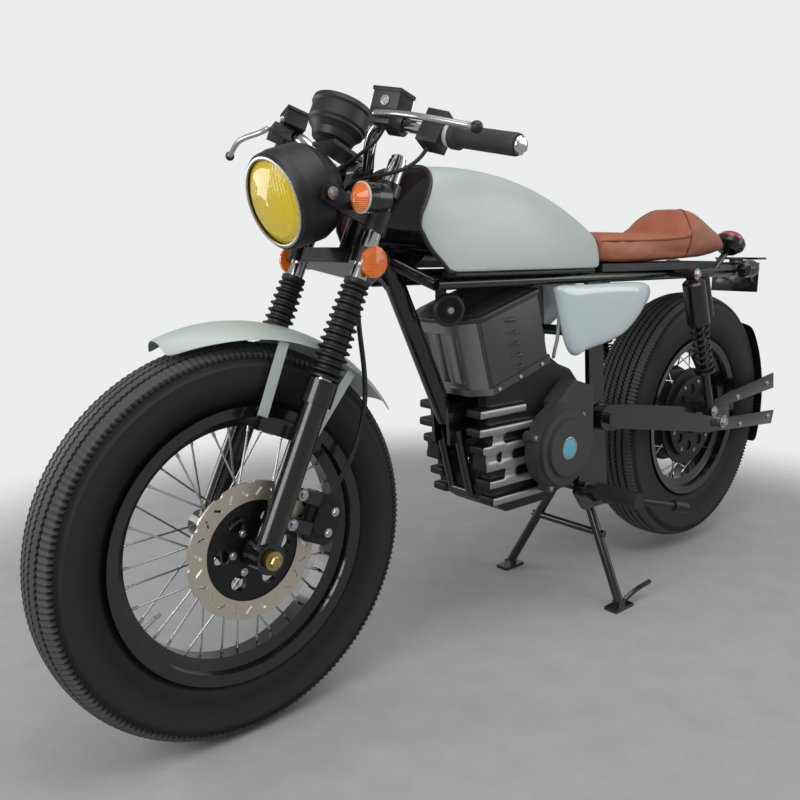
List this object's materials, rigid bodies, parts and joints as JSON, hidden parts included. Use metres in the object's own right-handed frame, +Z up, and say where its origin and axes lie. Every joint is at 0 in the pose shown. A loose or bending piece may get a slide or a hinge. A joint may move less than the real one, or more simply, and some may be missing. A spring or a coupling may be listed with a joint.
{
  "type": "electric motorcycle",
  "caption": "Café-racer style electric motorcycle with wire wheels, smooth tank cover, humped tan seat, hub motor and a battery box, standing on its centre stand.",
  "frame": {"origin": "middle of the bounding box on the floor", "axes": "+X forward, +Y to the rider's left, +Z up"},
  "size_m": [2.135, 0.7582, 1.0924],
  "materials": {
    "black_paint": "semi-gloss",
    "body_paint": "gloss, faint green tint",
    "gloss_panel": "high gloss, pale",
    "leather": "satin tan-brown",
    "black_plastic": "satin",
    "cast_alloy": "dark satin casting",
    "rubber": "matte",
    "steel": "satin",
    "chrome": "polished",
    "black_alloy": "satin",
    "tyre": "matte",
    "yellow_glass": "yellow tinted lens",
    "amber_plastic": "translucent amber",
    "red_plastic": "translucent red"
  },
  "bodies": {
    "frame": {"main_frame": "black_paint", "battery_box": "black_plastic", "battery_lid": "black_plastic", "motor_case": "cast_alloy", "case_cover_left": "cast_alloy", "case_cover_right": "cast_alloy", "tank": "body_paint", "tank_trim": "rubber", "seat": "leather", "seat_pan": "black_plastic", "side_covers": "gloss_panel", "horn": "black_plastic", "footpegs": "rubber", "swingarm": "black_paint", "shock_bodies": "black_paint", "shock_springs": "black_paint", "rear_axle": "steel", "hugger": "black_plastic", "hugger_brackets": "black_paint", "tail_lamp": "red_plastic", "tail_holder": "black_paint", "rear_indicators": "black_plastic", "plate_bracket": "black_paint", "rear_caliper": "black_alloy", "breather_tube": "rubber"},
    "steering": {"lower_yoke": "black_paint", "upper_yoke": "black_paint", "fork_tubes": "chrome", "fork_gaiters": "rubber", "fork_lowers": "black_paint", "front_axle": "steel", "front_fender": "body_paint", "fender_stays": "body_paint", "headlight_bucket": "black_paint", "headlight_rim": "chrome", "headlight_lens": "yellow_glass", "headlight_brackets": "black_paint", "indicator_bodies": "black_plastic", "amber_lenses": "amber_plastic", "handlebar": "chrome", "grips": "black_plastic", "levers": "steel", "brake_masters": "black_plastic", "switch_pods": "black_plastic", "speedometer": "black_plastic", "front_caliper": "black_alloy", "brake_hose": "rubber", "control_cables": "rubber"},
    "front_wheel": {"front_tyre": "tyre", "front_rim": "black_alloy", "front_hub": "cast_alloy", "front_disc": "steel"},
    "rear_wheel": {"rear_tyre": "tyre", "rear_rim": "black_alloy", "hub_motor": "cast_alloy", "rear_disc": "steel"},
    "center_stand": {"center_stand": "black_paint"},
    "side_stand": {"side_stand": "steel"}
  },
  "joints": [
    {"name": "steering", "type": "hinge", "parent": "frame", "child": "steering", "pos_m": [0.45065, 0, 0.85349], "axis": [-0.4131, 0, 0.9107], "range_deg": [-23, 23]},
    {"name": "front_wheel_spin", "type": "hinge", "parent": "steering", "child": "front_wheel", "pos_m": [0.7275, 0, 0.34], "axis": [0, 1, 0], "continuous": true},
    {"name": "rear_wheel_spin", "type": "hinge", "parent": "frame", "child": "rear_wheel", "pos_m": [-0.6825, 0, 0.37], "axis": [0, 1, 0], "continuous": true},
    {"name": "center_stand_fold", "type": "hinge", "parent": "frame", "child": "center_stand", "pos_m": [-0.2025, 0, 0.262], "axis": [0, 1, 0], "range_deg": [0, 75]},
    {"name": "side_stand_swing", "type": "hinge", "parent": "frame", "child": "side_stand", "pos_m": [-0.1775, 0.126, 0.262], "axis": [0, -0.9239, -0.3827], "range_deg": [0, 90]}
  ]
}
